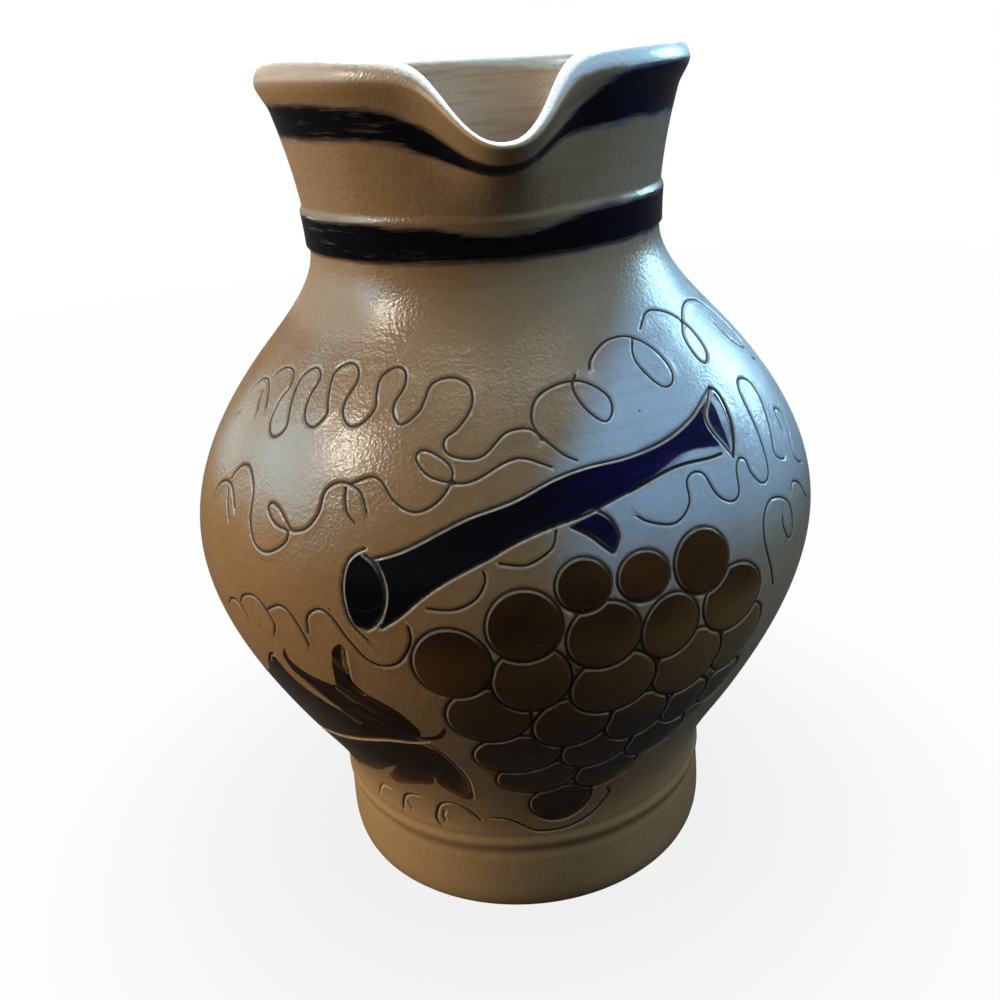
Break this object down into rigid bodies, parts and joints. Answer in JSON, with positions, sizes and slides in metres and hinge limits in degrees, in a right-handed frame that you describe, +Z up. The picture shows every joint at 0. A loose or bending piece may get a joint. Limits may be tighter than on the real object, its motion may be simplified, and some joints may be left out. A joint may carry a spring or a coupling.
{
  "type": "stoneware jug",
  "caption": "Round-bellied salt-glazed stoneware jug with a flared neck, a pulled pouring lip, a strap handle behind it, and incised painted grapes and vine tendrils.",
  "frame": {"origin": "centre of the flat base, on the surface that the jug stands on", "axes": "+Z up along the turning axis; the pouring lip points along -Y, the handle along +Y, and X=0 is the plane of symmetry"},
  "size_m": [0.1852, 0.201, 0.2422],
  "materials": {
    "body_glaze": "glossy salt glaze with fine orange peel, warm tan over grey, with near-black cobalt and dark brown manganese painting",
    "handle_glaze": "glossy salt glaze with fine orange peel, warm tan over grey"
  },
  "bodies": {
    "root": {"thrown_body": "body_glaze", "pulled_handle": "handle_glaze"}
  },
  "joints": []
}
